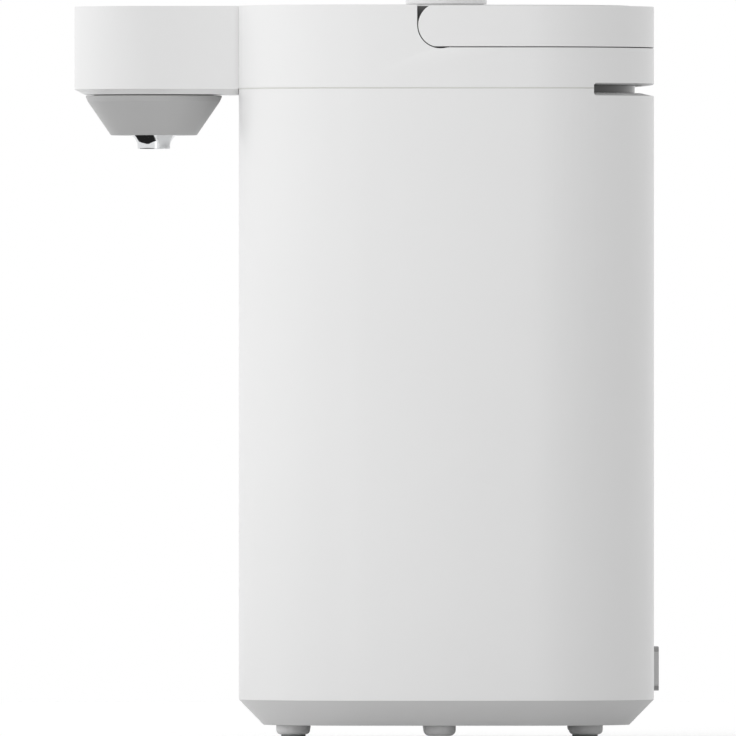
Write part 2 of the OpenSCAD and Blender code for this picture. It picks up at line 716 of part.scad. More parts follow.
module pump_housing() color([0.9, 0.9, 0.88]) on_axis() translate([pump_x, 0, 0]) difference() {
    union() {
        disc(pump_d / 2, z_pump, z_pump + pump_h);
        disc(port_r, z_pump + pump_h - eps, z_shield + 4.5);
        translate([-pump_d / 2 - spout_l, 0, pump_out]) rotate([0, 90, 0])
            cylinder(spout_l + pump_t, r = riser_r + 1.6);
        for (a = [45:90:315]) rotate([0, 0, a]) translate([pump_d / 2 + 2, 0, z_pump]) cylinder(3, r = 3.6);
    }
    disc(pump_d / 2 - pump_t, z_pump + pump_t, z_pump + pump_h - pump_t);
    disc(port_r - 1, z_pump + pump_h - 4, z_shield + 5);
    disc(1.5, z_pump - 1, z_pump + 4);
    translate([-pump_d / 2 - spout_l - 1, 0, pump_out]) rotate([0, 90, 0]) {
        cylinder(spout_l / 2 + 1, r = riser_r + run_gap);
        cylinder(spout_l + pump_t + 2, r = riser_r - riser_t);
    }
    for (a = [45:90:315]) rotate([0, 0, a]) translate([pump_d / 2 + 2.6, 0, z_pump - 1]) cylinder(6, r = 1.3);
}

module pump_motor() color(steel) on_axis() translate([pump_x, 0, 0]) difference() {
    disc(motor_d / 2, z_floor + 0.4, z_pump);
    disc(1.4, z_pump - 8, z_pump + 1);
}

// Open impeller with backward-curved vanes on its shaft
module impeller() color([0.85, 0.6, 0.2]) on_axis() translate([pump_x, 0, 0]) {
    vane_r = 9;
    z_disc = z_pump + pump_t + 0.8;
    disc(1.2, z_pump - 7, z_disc + eps);
    disc(pump_d / 2 - pump_t - 1.4, z_disc, z_disc + 1.2);
    disc(2.6, z_disc + 1, z_disc + 4.6);
    for (a = [0:60:300]) rotate([0, 0, a]) translate([2, -vane_r, z_disc + 1]) intersection() {
        tube(vane_r + 0.5, vane_r - 0.5, 0, 3.4);
        translate([0, 3, -1]) cube([8.8, 8, 6]);
    }
}

module power_board() color([0.1, 0.35, 0.2]) on_axis() {
    translate([board_x, -board_w / 2, board_z]) cube([board_l, board_w, board_t]);
    for (p = [[4, -18], [4, 18], [50, -20]]) translate(p) disc(4, board_z + board_t - eps, board_z + 13);
}

module transformer() color([0.75, 0.65, 0.2]) on_axis() translate([16, -12, board_z + board_t]) {
    cube([22, 24, 3]);
    translate([3, 0, 3 - eps]) cube([16, 24, 10]);
    translate([0, 4, 3 - eps]) cube([22, 16, 8]);
}

module relay() color([0.15, 0.2, 0.5]) on_axis()
    translate([43, -8, board_z + board_t]) cube([16, 18, 14]);

module in_inlet() translate([half_d, 0, inlet_z]) rotate([0, 90, 0]) children();

// Power inlet: a flange outside the shell and a socket box behind it
module inlet_body() color([0.6, 0.6, 0.6]) on_axis() difference() {
    union() {
        in_inlet() linear_extrude(inlet_proud) intersection() {
            inlet_outline();
            square([inlet_h - 2 * rail_h, inlet_w], center = true);
        }
        in_inlet() translate([0, 0, -socket_depth]) linear_extrude(socket_depth + 1)
            round_rect(inlet_h - 4.6, inlet_w - 5.6, 1.7);
    }
    in_inlet() translate([0, 0, inlet_proud - socket_depth]) linear_extrude(socket_depth + 1)
        round_rect(socket_h, socket_w, 1.5);
    for (s = [-1, 1]) in_inlet() translate([0, s * pin_space / 2, -socket_depth - 1])
        cylinder(6, r = pin_r + press_gap);
}

module inlet_outline() round_rect(inlet_h, inlet_w, 4);

// Dark rails along the flange's top and bottom edge
module inlet_rails() color([0.45, 0.45, 0.45]) on_axis() in_inlet() linear_extrude(inlet_proud)
    difference() {
        inlet_outline();
        square([inlet_h - 2 * rail_h, inlet_w + 1], center = true);
    }

module inlet_pins() color([0.8, 0.65, 0.3]) on_axis() for (s = [-1, 1])
    in_inlet() translate([0, s * pin_space / 2, -socket_depth - pin_tail])
        cylinder(socket_depth + pin_tail + inlet_proud - pin_sink, r = pin_r);

// Carry bail: follows the body outline round the rear and ends in arcs about its pivots
module handle_bail() color(white) on_axis() difference() {
    intersection() {
        ring_slab(handle_low, handle_top, 0, handle_w);
        across(body_width + 2) {
            translate([pivot_x, pivot_z]) circle(handle_end_r);
            translate([pivot_x, handle_low - 1]) square([half_d + 20, 40]);
        }
    }
    for (s = [-1, 1]) translate([pivot_x, s * (half_w - handle_w - 1), pivot_z])
        rotate([-s * 90, 0, 0]) cylinder(handle_w - 2.8, r = handle_pin_d / 2 + run_gap);
}

module handle_pins() color(steel) on_axis() for (s = [-1, 1])
    translate([pivot_x, s * (half_w - rebate_w - housing_t - collar_space + 0.4), pivot_z])
        rotate([-s * 90, 0, 0]) cylinder(rebate_w + housing_t + collar_space - 4.6, r = handle_pin_d / 2);

module before_chord(x) translate([-2 * lid_r, -2 * lid_r, 0]) cube([2 * lid_r + x, 4 * lid_r, 2 * z_top]);

module lid_cover() color(white) on_axis() difference() {
    union() {
        intersection() {
            translate([0, 0, z_skirt]) cylinder(lid_edge, lid_r - lid_taper, lid_r);
            before_chord(chord_x);
        }
        disc(well_r + well_t, well_floor - well_t, z_top - 1);
        at_hinge() cylinder(barrel_l, r = barrel_r, center = true);
        translate([chord_x - 4, -barrel_l / 2, z_skirt])
            cube([hinge_x - chord_x + 4, barrel_l, lid_edge - 1.4]);
    }
    difference() {
        intersection() {
            disc(lid_base_r + 0.4, z_skirt - 1, z_top - cover_t);
            before_chord(chord_x - 3);
        }
        disc(well_r + well_t, 0, z_top);
    }
    disc(well_r, well_floor, z_top + 1);
    disc(stem_r + 0.3, well_floor - well_t - 1, z_top);
    at_hinge() cylinder(barrel_l + 2, r = hinge_pin_d / 2 + run_gap, center = true);
    translate([steam_x, 0, 0]) {
        disc(steam_d / 2 + 0.2, z_top - 1.4, z_top + 1);
        disc(5, z_skirt - 1, z_top);
    }
}

module lid_base() color(grey) on_axis() difference() {
    union() {
        difference() {
            disc(lid_base_r, z_lid_base, z_top - cover_t);
            disc(lid_base_r - 2, z_lid_base + 2, z_top);
        }
        for (s = [-1, 1]) translate([-bolt_tip + 8, s * (bolt_w / 2 + 1.3) - 1, z_lid_base + 1])
            cube([bolt_tip - 16, 2, z_bolt_top - z_lid_base]);
        translate([-bolt_tip + 8, -bolt_w / 2 - 1, z_lid_base + 1])
            cube([bolt_tip - 22, bolt_w + 2, z_bolt - z_lid_base - 1 - seat_gap]);
    }
    difference() {
        translate([chord_x - 5, -lid_r, z_skirt - 6]) cube([40, 2 * lid_r, 40]);
        before_chord(chord_x - 5);
    }
    translate([-lid_r, -bolt_w / 2 - seat_gap, z_bolt - seat_gap])
        cube([lid_r - 4, bolt_w + 2 * seat_gap, bolt_t + 2 * seat_gap]);
    translate([steam_x, 0, 0]) disc(6.6, z_lid_base - 1, z_lid_base + 3);
}

module lid_plate() color(steel) on_axis() difference() {
    union() {
        disc(seal_in - seat_gap, z_lid_base - 1.2, z_lid_base);
        tube(seal_in - seat_gap, seal_in - 3, z_lid_base - 3, z_lid_base - 1);
    }
    translate([steam_x, 0, 0]) disc(6.6, z_lid_base - 4, z_lid_base + 1);
}

// Silicone seal with a lip that bears on the ledge of the mouth
module lid_seal() color([0.75, 0.75, 0.74]) on_axis() rotate_extrude()
    polygon([[seal_in, z_lid_base], [seal_in, z_seal + 1.4], [seal_in + 2, z_seal],
        [seal_r, z_seal], [seal_r, z_seal + 1.2], [seal_r - 2.4, z_seal + 2],
        [seal_r - 2.4, z_seal + 3.2], [seal_r - 0.6, z_lid_base - 1], [seal_r - 0.6, z_lid_base]]);

module steam_duct() color(grey) on_axis() translate([steam_x, 0, 0]) {
    tube(6.5, 5, z_lid_base - 3, z_skirt + 2);
    tube(8.5, 6.4, z_lid_base + 2, z_lid_base + 4);
}

module steam_cap() color(grey) on_axis() translate([steam_x, 0, 0]) difference() {
    disc(steam_d / 2, z_top - 1.4, z_top);
    for (i = [-1:1]) translate([0, i * 3.2, z_top]) cube([9 - 2 * abs(i), 1.2, 4], center = true);
}

module hinge_pin() color(steel) on_axis() at_hinge()
    cylinder(pocket_w - 0.4, r = hinge_pin_d / 2, center = true);

// Lock button: a cup with a shadow groove, and a stem whose wedge drives the bolt
module lid_button() color(white) on_axis() {
    difference() {
        disc(button_d / 2, button_skirt, button_top);
        disc(button_d / 2 - 2.4, button_skirt - 1, button_top - button_t);
        tube(button_d / 2 + 1, button_d / 2 - button_groove, z_top + 0.5, z_top + 1.2);
    }
    difference() {
        disc(stem_r, wedge_low, button_top - button_t + eps);
        tube(stem_r + 1, stem_r - 0.8, well_floor - well_t - 1.4, well_floor - well_t - 0.3);
        across(3 * stem_r) polygon([[-stem_r, wedge_top], [stem_r, wedge_low], [stem_r, wedge_low - 2],
            [-2 * stem_r, wedge_low - 2], [-2 * stem_r, wedge_top]]);
    }
}

module button_clip() color(steel) on_axis() difference() {
    tube(stem_r + 2.6, stem_r - 0.7, well_floor - well_t - 1.3, well_floor - well_t - 0.4);
    translate([0, -2.4, 0]) cube([20, 4.8, 2 * z_top]);
}

// Coil spring under the button, swept from rings of points along a helix
module button_spring() color(steel) on_axis() {
    wire = 0.6;
    coil = 9;
    turns = 4;
    sides = 8;
    steps = 24 * turns;
    low = well_floor + wire + 0.1;
    rise = button_top - button_t - wire - 0.1 - low;
    points = [for (i = [0:steps], j = [0:sides - 1])
        let (a = 360 * turns * i / steps, b = 360 * j / sides, r = coil + wire * cos(b))
        [r * cos(a), r * sin(a), low + rise * i / steps + wire * sin(b)]];
    faces = concat([[for (j = [0:sides - 1]) j]],
        [for (i = [0:steps - 1], j = [0:sides - 1]) let (k = (j + 1) % sides)
            [i * sides + j, (i + 1) * sides + j, (i + 1) * sides + k, i * sides + k]],
        [[for (j = [sides - 1:-1:0]) steps * sides + j]]);
    polyhedron(points, faces);
}

module lock_bolt() color([0.9, 0.9, 0.88]) on_axis() across(bolt_w)
    polygon([[-bolt_tip, z_bolt], [wedge_edge(z_bolt), z_bolt],
        [wedge_edge(z_bolt_top), z_bolt_top], [1 - bolt_tip, z_bolt_top], [-bolt_tip, z_bolt_top - 1]]);

// Where the bolt's ramp stands at height z, wedge_gap in front of the stem's wedge
function wedge_edge(z) = -stem_r - wedge_gap - bolt_ratio * (z - wedge_top);

outer_shell();
base_cover();
feet();
foot_pads();
side_stubs();
top_housing();
vent_liner();
beak_cover();
touch_panel();
control_board();
nozzle_cone();
nozzle_tip();
outlet_hose();
riser_tube();
inner_pot();
pot_gasket();
insulating_jacket();
heater_plate();
heater_element();
thermostat();
thermal_fuse();
temperature_probe();
heat_shield();
suction_sleeve();
pump_housing();
pump_motor();
impeller();
power_board();
transformer();
relay();
inlet_body();
inlet_rails();
inlet_pins();
handle_bail();
handle_pins();
pivot_plates();
lid_cover();
lid_base();
lid_plate();
lid_seal();
steam_duct();
steam_cap();
hinge_pin();
lid_button();
button_clip();
button_spring();
lock_bolt();
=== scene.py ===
import json
import math

import bmesh
import bpy
from mathutils import Matrix, Vector

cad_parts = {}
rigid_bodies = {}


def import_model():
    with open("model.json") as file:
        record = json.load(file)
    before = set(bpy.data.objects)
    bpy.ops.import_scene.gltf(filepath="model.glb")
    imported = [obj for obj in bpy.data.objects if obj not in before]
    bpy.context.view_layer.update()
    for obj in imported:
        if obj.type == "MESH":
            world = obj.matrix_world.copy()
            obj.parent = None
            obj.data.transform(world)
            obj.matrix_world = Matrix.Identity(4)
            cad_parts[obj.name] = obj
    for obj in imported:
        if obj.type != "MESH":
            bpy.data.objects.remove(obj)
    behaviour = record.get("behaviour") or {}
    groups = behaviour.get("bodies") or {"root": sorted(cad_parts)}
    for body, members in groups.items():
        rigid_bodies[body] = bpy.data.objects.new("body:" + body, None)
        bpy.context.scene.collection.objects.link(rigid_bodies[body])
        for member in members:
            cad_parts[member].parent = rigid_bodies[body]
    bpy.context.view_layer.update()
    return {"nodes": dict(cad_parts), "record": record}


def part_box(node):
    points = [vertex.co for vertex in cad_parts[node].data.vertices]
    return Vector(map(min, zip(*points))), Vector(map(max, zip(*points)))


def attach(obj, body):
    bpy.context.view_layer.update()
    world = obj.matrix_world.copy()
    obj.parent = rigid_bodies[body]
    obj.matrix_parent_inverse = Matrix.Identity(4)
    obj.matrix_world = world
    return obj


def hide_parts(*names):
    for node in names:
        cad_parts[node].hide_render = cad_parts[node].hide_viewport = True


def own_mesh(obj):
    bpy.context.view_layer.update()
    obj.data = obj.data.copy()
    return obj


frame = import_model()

mm = 0.001
record = frame["record"]
bodyOfNode = {node: body for body, nodes in record["behaviour"]["bodies"].items() for node in nodes}
slotOfNode = {part["node"]: part["material_slot"] for part in record["subparts"]}
print("frame loaded,", len(bodyOfNode), "nodes")


# where things are, read from the frame

shellLow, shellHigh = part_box("outer_shell")
bodyAxis = (shellLow.x + shellHigh.x) / 2
coneLow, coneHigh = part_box("nozzle_cone")
coneAxis = (coneLow.x + coneHigh.x) / 2
tipLow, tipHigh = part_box("nozzle_tip")
panelLow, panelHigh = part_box("touch_panel")
feetLow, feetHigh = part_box("feet")
padsLow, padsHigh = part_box("foot_pads")
stubsLow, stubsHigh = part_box("side_stubs")
linerLow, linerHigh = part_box("vent_liner")
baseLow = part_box("base_cover")[0]
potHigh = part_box("inner_pot")[1]


# shader helpers

class Signal:  # wraps a socket, so that maths on it can be written out

    def __init__(self, board, socket):
        self.board, self.socket = board, socket

    def maths(self, operation, first, second):
        return self.board.add("ShaderNodeMath", {"operation": operation}, {0: first, 1: second})

    def __add__(self, other):
        return self.maths("ADD", self, other)

    def __radd__(self, other):
        return self.maths("ADD", other, self)

    def __sub__(self, other):
        return self.maths("SUBTRACT", self, other)

    def __rsub__(self, other):
        return self.maths("SUBTRACT", other, self)

    def __mul__(self, other):
        return self.maths("MULTIPLY", self, other)

    def __rmul__(self, other):
        return self.maths("MULTIPLY", other, self)

    def __pow__(self, other):
        return self.maths("POWER", self, other)

    def __gt__(self, other):
        return self.maths("GREATER_THAN", self, other)


class Board:  # a node tree that nodes are added to, each from one call

    def __init__(self, name, tree=None):
        if tree is None:
            self.material = bpy.data.materials.new(name)
            self.material.use_nodes = True
            tree = self.material.node_tree
        self.tree = tree
        self.tree.nodes.clear()

    # output is the output wanted, a tuple of several, or None
    def add(self, kind, settings=None, sockets=None, output=0):
        node = self.tree.nodes.new(kind)
        for key, value in (settings or {}).items():
            setattr(node, key, value)
        for key, value in (sockets or {}).items():
            if isinstance(value, Signal):
                self.tree.links.new(value.socket, node.inputs[key])
            else:
                node.inputs[key].default_value = value
        if isinstance(output, tuple):
            return [Signal(self, node.outputs[key]) for key in output]
        return None if output is None else Signal(self, node.outputs[output])

    def place(self, stretch=(1, 1, 1), centre=(0, 0, 0)):
        coords = self.add("ShaderNodeTexCoord", output="Object")
        return self.add("ShaderNodeMapping", {"vector_type": "POINT"},
                        {"Vector": coords, "Scale": stretch, "Location": centre})

    def noise(self, vector, scale, detail=3, roughness=0.55):
        return self.add("ShaderNodeTexNoise", None,
                        {"Vector": vector, "Scale": scale, "Detail": detail, "Roughness": roughness})

    def blend(self, factor, first, second):
        return self.add("ShaderNodeMix", {"data_type": "RGBA"}, {0: factor, 6: first, 7: second}, output=2)

    # A colour that wanders between two shares of itself
    def wander(self, factor, colour, low, high):
        return self.blend(factor, tint(colour, low), tint(colour, high))

    def bump(self, height, distance, strength=0.6):
        return self.add("ShaderNodeBump", None,
                        {"Height": height, "Distance": distance, "Strength": strength})

    def surface(self, **sockets):
        names = {"Colour": "Base Color", "Coat": "Coat Weight", "CoatRoughness": "Coat Roughness",
                 "Sheen": "Sheen Weight"}
        shader = self.add("ShaderNodeBsdfPrincipled", None,
                          {names.get(key, key): value for key, value in sockets.items()})
        self.add("ShaderNodeOutputMaterial", None, {"Surface": shader}, output=None)
        return self.material


def tint(colour, share):
    return (*[min(1, part * share) for part in colour], 1)


# A noise swung about zero, by half the spread each way
def swing(noise, spread):
    return (noise - 0.5) * spread


# moulded plastics

mouldLook = {"cloud": 14, "smear": 42, "smearStretch": (1, 1, 0.35), "smearSpread": 0.16,
             "grainSpread": 0.05, "ior": 1.47, "coat": 0.0, "coatRoughness": 0.2}
plasticLooks = {
    "white_casing": {"colour": (0.79, 0.79, 0.79), "roughness": 0.34, "mottle": 0.012, "grain": 2400,
                     "depth": 3e-6},
    "grey_plastic": {"colour": (0.60, 0.60, 0.60), "roughness": 0.46, "mottle": 0.03, "grain": 1500,
                     "depth": 9e-6},
    "base_grey": {"colour": (0.62, 0.62, 0.62), "roughness": 0.42, "mottle": 0.02, "grain": 1500,
                  "depth": 7e-6},
    "outlet_grey": {"colour": (0.46, 0.46, 0.46), "roughness": 0.44, "mottle": 0.03, "grain": 1500,
                    "depth": 9e-6},
    "dark_grey_plastic": {"colour": (0.36, 0.36, 0.36), "roughness": 0.46, "mottle": 0.04, "grain": 1500,
                          "depth": 9e-6},
    # the vent liner: dark plastic made near-black, so its colour also paints the slot's recess shade; its
    # coat adds a real reflection
    "liner_dark_plastic_and_painted_shade": {"colour": (0.045, 0.045, 0.045), "roughness": 0.30, "mottle": 0.08, "grain": 900,
                    "depth": 5e-6, "coat": 0.35},
    "dark_plastic": {"colour": (0.10, 0.10, 0.10), "roughness": 0.50, "mottle": 0.06, "grain": 1500,
                     "depth": 9e-6},
    "pump_plastic": {"colour": (0.72, 0.72, 0.69), "roughness": 0.42, "mottle": 0.03, "grain": 1200,
                     "depth": 6e-6},
    "impeller_plastic": {"colour": (0.62, 0.34, 0.07), "roughness": 0.42, "mottle": 0.05, "grain": 1200,
                         "depth": 6e-6},
    "relay_case": {"colour": (0.03, 0.07, 0.30), "roughness": 0.28, "mottle": 0.04, "grain": 900,
                   "depth": 4e-6},
}


def mouldedPlastic(name, look):
    look = mouldLook | look
    board = Board(name)
    place = board.place()
    cloud = board.noise(place, look["cloud"], detail=2)
    grain = board.noise(place, look["grain"], detail=2)
    smears = board.noise(board.place(look["smearStretch"]), look["smear"], detail=4, roughness=0.6)
    tone = board.wander(cloud, look["colour"], 1 - look["mottle"], 1 + look["mottle"])
    rough = swing(smears, look["smearSpread"]) + swing(grain, look["grainSpread"]) + look["roughness"]
    return board.surface(Colour=tone, Roughness=rough,
                         Normal=board.bump(grain, look["depth"]), IOR=look["ior"], Coat=look["coat"],
                         CoatRoughness=look["coatRoughness"])


# rubber and silicone

softLook = {"patches": 90, "spread": 0.2, "ior": 1.5}
rubberLooks = {
    "rubber": {"colour": (0.20, 0.20, 0.202), "roughness": 0.74, "bloom": 0.2, "grain": 1900,
               "depth": 2e-5},
    "silicone": {"colour": (0.66, 0.66, 0.63), "roughness": 0.52, "bloom": 0.08, "grain": 900,
                 "depth": 6e-6},
}


def softRubber(name, look):
    look = softLook | look
    board = Board(name)
    place = board.place()
    bloom = board.noise(place, look["patches"], detail=5, roughness=0.65)
    grain = board.noise(place, look["grain"])
    tone = board.wander(bloom, look["colour"], 1 - look["bloom"], 1 + look["bloom"])
    return board.surface(Colour=tone, Roughness=swing(bloom, look["spread"]) + look["roughness"],
                         Normal=board.bump(grain, look["depth"]), IOR=look["ior"])


# metals: lines left by working them, and stains

wornLook = {"stain": 35, "dull": 0.93, "bright": 1.05}
metalLooks = {
    "polished_steel": {"colour": (0.72, 0.73, 0.74), "roughness": 0.09, "stretch": (1, 1, 1), "lines": 500,
                       "depth": 4e-7, "spread": 0.05},
    "cast_aluminium": {"colour": (0.62, 0.62, 0.62), "roughness": 0.50, "stretch": (1, 1, 1), "lines": 1400,
                       "depth": 3e-5, "spread": 0.14},
    "element_sheath": {"colour": (0.13, 0.115, 0.10), "roughness": 0.52, "stretch": (1, 1, 1), "lines": 700,
                       "depth": 1e-5, "spread": 0.2},
    "brass_contact": {"colour": (0.70, 0.50, 0.20), "roughness": 0.22, "stretch": (30, 1, 1), "lines": 300,
                      "depth": 2e-6, "spread": 0.1},
}
metalLooks["screw_steel"] = metalLooks["polished_steel"] | {"roughness": 0.24}


def workedMetal(name, look):
    look = wornLook | look
    board = Board(name)
    lines = board.noise(board.place(look["stretch"]), look["lines"])
    stain = board.noise(board.place(), look["stain"], detail=4, roughness=0.6)
    tone = board.wander(stain, look["colour"], look["dull"], look["bright"])
    rough = swing(lines, look["spread"]) + swing(stain, look["spread"]) + look["roughness"]
    return board.surface(Colour=tone, Metallic=1.0, Roughness=rough,
                         Normal=board.bump(lines, look["depth"]))


spunLook = {"colour": (0.64, 0.64, 0.635), "roughness": 0.27, "rings": 2600, "sweep": 5.0, "depth": 2.5e-6,
            "stain": 22, "dull": 0.92, "bright": 1.08, "lineSpread": 0.14, "stainSpread": 0.06}


# Steel turned about the pot's axis: fine rings that fade in and out along their length
def spunSteel(name):
    look = spunLook
    board = Board(name)
    place = board.place(centre=(-bodyAxis, 0, 0))
    x, y, z = board.add("ShaderNodeSeparateXYZ", None, {0: place}, output=("X", "Y", "Z"))
    radius = (x * x + y * y) ** 0.5
    turn = x.maths("ARCTAN2", y, x)
    rings = board.add("ShaderNodeCombineXYZ", None,
                      {0: (radius + z) * look["rings"], 1: turn * look["sweep"]})
    lines = board.noise(rings, 1.0)
    stain = board.noise(place, look["stain"], roughness=0.5)
    tone = board.wander(lines * 0.5 + stain * 0.5, look["colour"], look["dull"], look["bright"])
    rough = swing(lines, look["lineSpread"]) + swing(stain, look["stainSpread"]) + look["roughness"]
    return board.surface(Colour=tone, Metallic=1.0, Roughness=rough,
                         Normal=board.bump(lines, look["depth"]))


# the touch panel's glass

panelLook = {"glass": (0.018, 0.019, 0.022), "haze": (0.030, 0.031, 0.034), "roughness": 0.10,
             "hazeScale": 60, "hazeSpread": 0.12, "fingerScale": 380, "fingerSpread": 0.08, "depth": 2e-6,
             "coat": 0.4, "coatRoughness": 0.04}


def panelGlass(name):
    look = panelLook
    board = Board(name)
    place = board.place()
    haze = board.noise(place, look["hazeScale"], detail=4, roughness=0.6)
    fingerMarks = board.noise(place, look["fingerScale"], detail=2, roughness=0.5)
    rough = swing(haze, look["hazeSpread"]) + swing(fingerMarks, look["fingerSpread"]) + look["roughness"]
    return board.surface(Colour=board.blend(haze, (*look["glass"], 1), (*look["haze"], 1)),
                         Roughness=rough, Normal=board.bump(haze, look["depth"]), Coat=look["coat"],
                         CoatRoughness=look["coatRoughness"])


# the felt jacket

jacketLook = {"wool": (0.66, 0.62, 0.50), "shade": (0.50, 0.46, 0.36), "fibres": 900, "tufts": 120,
              "fibreStretch": (1, 1, 0.2), "fibreShare": 0.4, "dull": 0.8, "roughness": 0.94, "depth": 2e-4,
              "sheen": 0.35}


def feltedWool(name):
    look = jacketLook
    board = Board(name)
    place = board.place()
    tufts = board.noise(place, look["tufts"], detail=5, roughness=0.7)
    fibres = board.noise(board.place(look["fibreStretch"]), look["fibres"], detail=4, roughness=0.7)
    plain = board.blend(tufts, (*look["shade"], 1), (*look["wool"], 1))
    tone = board.blend(fibres * look["fibreShare"], plain, tint(look["shade"], look["dull"]))
    return board.surface(Colour=tone, Roughness=look["roughness"], Sheen=look["sheen"],
                         Normal=board.bump(tufts + fibres, look["depth"]))


# the circuit boards: tracks under green lacquer

boardLook = {"mask": (0.012, 0.105, 0.045), "track": (0.035, 0.19, 0.08), "bandScale": 16.129032,
             "distortion": 2.5, "bandEdge": 0.7, "bend": 75, "bendEdge": 0.42, "grain": 400,
             "spread": 0.2, "roughness": 0.22, "depth": 3e-5}


def circuitBoard(name):
    look = boardLook
    board = Board(name)
    place = board.place()
    bend = board.noise(place, look["bend"], detail=1)
    grain = board.noise(place, look["grain"], detail=2)
    stripes = board.add("ShaderNodeTexWave", {"wave_type": "BANDS", "bands_direction": "Y"},
                        {"Vector": place, "Scale": look["bandScale"], "Distortion": look["distortion"],
                         "Detail": 0.0})
    tracks = (stripes > look["bandEdge"]) * (bend > look["bendEdge"])
    return board.surface(Colour=board.blend(tracks, (*look["mask"], 1), (*look["track"], 1)),
                         Roughness=grain * look["spread"] + look["roughness"],
                         Normal=board.bump(tracks, look["depth"]))


# the transformer's taped winding

windingLook = {"tape": (0.52, 0.40, 0.07), "edge": (0.32, 0.23, 0.04), "wrapScale": 10.5, "distortion": 0.6,
               "grain": 600, "spread": 0.2, "roughness": 0.25, "depth": 6e-5}


def tapedWinding(name):
    look = windingLook
    board = Board(name)
    place = board.place()
    grain = board.noise(place, look["grain"])
    wraps = board.add("ShaderNodeTexWave", {"wave_type": "BANDS", "bands_direction": "Z"},
                      {"Vector": place, "Scale": look["wrapScale"], "Distortion": look["distortion"]})
    return board.surface(Colour=board.blend(wraps, (*look["edge"], 1), (*look["tape"], 1)),
                         Roughness=grain * look["spread"] + look["roughness"],
                         Normal=board.bump(wraps, look["depth"]))


# the thermal fuse's ceramic

ceramicLook = {"body": (0.62, 0.56, 0.40), "speck": (0.40, 0.35, 0.24), "specks": 1800, "spread": 0.3,
               "roughness": 0.4, "depth": 1e-5}


def firedCeramic(name):
    look = ceramicLook
    board = Board(name)
    specks = board.noise(board.place(), look["specks"], roughness=0.7)
    return board.surface(Colour=board.blend(specks, (*look["body"], 1), (*look["speck"], 1)),
                         Roughness=specks * look["spread"] + look["roughness"],
                         Normal=board.bump(specks, look["depth"]))


# printed ink and etched marks

inkLook = {"patches": 1300, "dull": 0.86, "bright": 1.06, "spread": 0.2, "depth": 3e-6}
printLooks = {
    "panel_ink": {"colour": (0.62, 0.63, 0.65), "roughness": 0.45},
    "panel_lamp": {"colour": (0.06, 0.30, 0.55), "roughness": 0.3},
    "etched_mark": {"colour": (0.10, 0.10, 0.10), "roughness": 0.6},
}


def printedInk(name, look):
    look = inkLook | look
    board = Board(name)
    patches = board.noise(board.place(), look["patches"])
    return board.surface(Colour=board.wander(patches, look["colour"], look["dull"], look["bright"]),
                         Roughness=swing(patches, look["spread"]) + look["roughness"],
                         Normal=board.bump(patches, look["depth"]))


finishes = {name: mouldedPlastic(name, look) for name, look in plasticLooks.items()}
finishes |= {name: softRubber(name, look) for name, look in rubberLooks.items()}
finishes |= {name: workedMetal(name, look) for name, look in metalLooks.items()}
finishes |= {name: printedInk(name, look) for name, look in printLooks.items()}
singleFinishes = {"brushed_steel": spunSteel, "panel": panelGlass, "felt": feltedWool,
                  "circuit_board": circuitBoard, "winding": tapedWinding, "fuse_ceramic": firedCeramic}
finishes |= {name: make(name) for name, make in singleFinishes.items()}
# the vent liner's near-black finish is partly its own dark plastic and partly painted shade of the slot's
# recess
finishOfNode = slotOfNode | {"base_cover": "base_grey", "feet": "base_grey", "side_stubs": "base_grey",
                             "nozzle_cone": "outlet_grey", "vent_liner": "liner_dark_plastic_and_painted_shade"}
print("finishes made:", len(finishes))


# mesh helpers

meshLimits = {"doubles": 1e-6, "cadDoubles": 2e-6, "flatAngle": math.radians(0.6)}


# Turns a finished bmesh into a piece that rides on its body
def keep(name, bm, finish, body, replaced=(), crease=32, softEdge=0, segments=3):
    bmesh.ops.remove_doubles(bm, verts=bm.verts, dist=meshLimits["doubles"])
    bmesh.ops.recalc_face_normals(bm, faces=bm.faces)
    mesh = bpy.data.meshes.new(name)
    bm.to_mesh(mesh)
    bm.free()
    return dress(name, mesh, finish, body, replaced, crease, softEdge, segments)


# Makes an object of a mesh, with its finish and edges, and says what it rides on and replaces
def dress(name, mesh, finish, body, replaced, crease, softEdge, segments):
    mesh.materials.append(finish)
    mesh.shade_smooth()
    mesh.set_sharp_from_angle(angle=math.radians(crease))
    piece = bpy.data.objects.new(name, mesh)
    bpy.context.scene.collection.objects.link(piece)
    if softEdge:
        bevel = piece.modifiers.new("softEdge", "BEVEL")
        bevel.width = softEdge
        bevel.segments = segments
        bevel.limit_method = "ANGLE"
        bevel.angle_limit = math.radians(crease)
        bevel.harden_normals = True
    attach(piece, body)
    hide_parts(*replaced)
    return piece


# A copy of a CAD node's mesh with its doubled points merged
def mergedCopy(node):
    bm = bmesh.new()
    bm.from_mesh(frame["nodes"][node].data)
    bmesh.ops.remove_doubles(bm, verts=bm.verts, dist=meshLimits["cadDoubles"])
    return bm


# A merged copy of a CAD node, with its edges softened. A level cut near a notch in a tall wall keeps the
# notch's shading from running along the wall
def refine(node, softEdge, crease=32, segments=3, cuts=()):
    bm = mergedCopy(node)
    bmesh.ops.dissolve_limit(bm, angle_limit=meshLimits["flatAngle"], verts=bm.verts, edges=bm.edges)
    for height in cuts:
        bmesh.ops.bisect_plane(bm, geom=bm.verts[:] + bm.edges[:] + bm.faces[:], dist=meshLimits["doubles"],
                               plane_co=(0, 0, height), plane_no=(0, 0, 1))
    mesh = bpy.data.meshes.new(node + "Skin")
    bm.to_mesh(mesh)
    bm.free()
    return dress(node + "Skin", mesh, finishes[finishOfNode[node]], bodyOfNode[node],
                 [node], crease, softEdge, segments)


# Spins a profile of (radius, height) points round an upright axis through centre
def turned(bm, profile, centre, steps=96):
    verts = [bm.verts.new((centre[0] + radius, centre[1], height)) for radius, height in profile]
    edges = [bm.edges.new(pair) for pair in zip(verts, verts[1:])]
    bmesh.ops.spin(bm, geom=verts + edges, cent=(*centre, 0), axis=(0, 0, 1), angle=math.tau,
                   steps=steps, use_merge=True)
    return bm


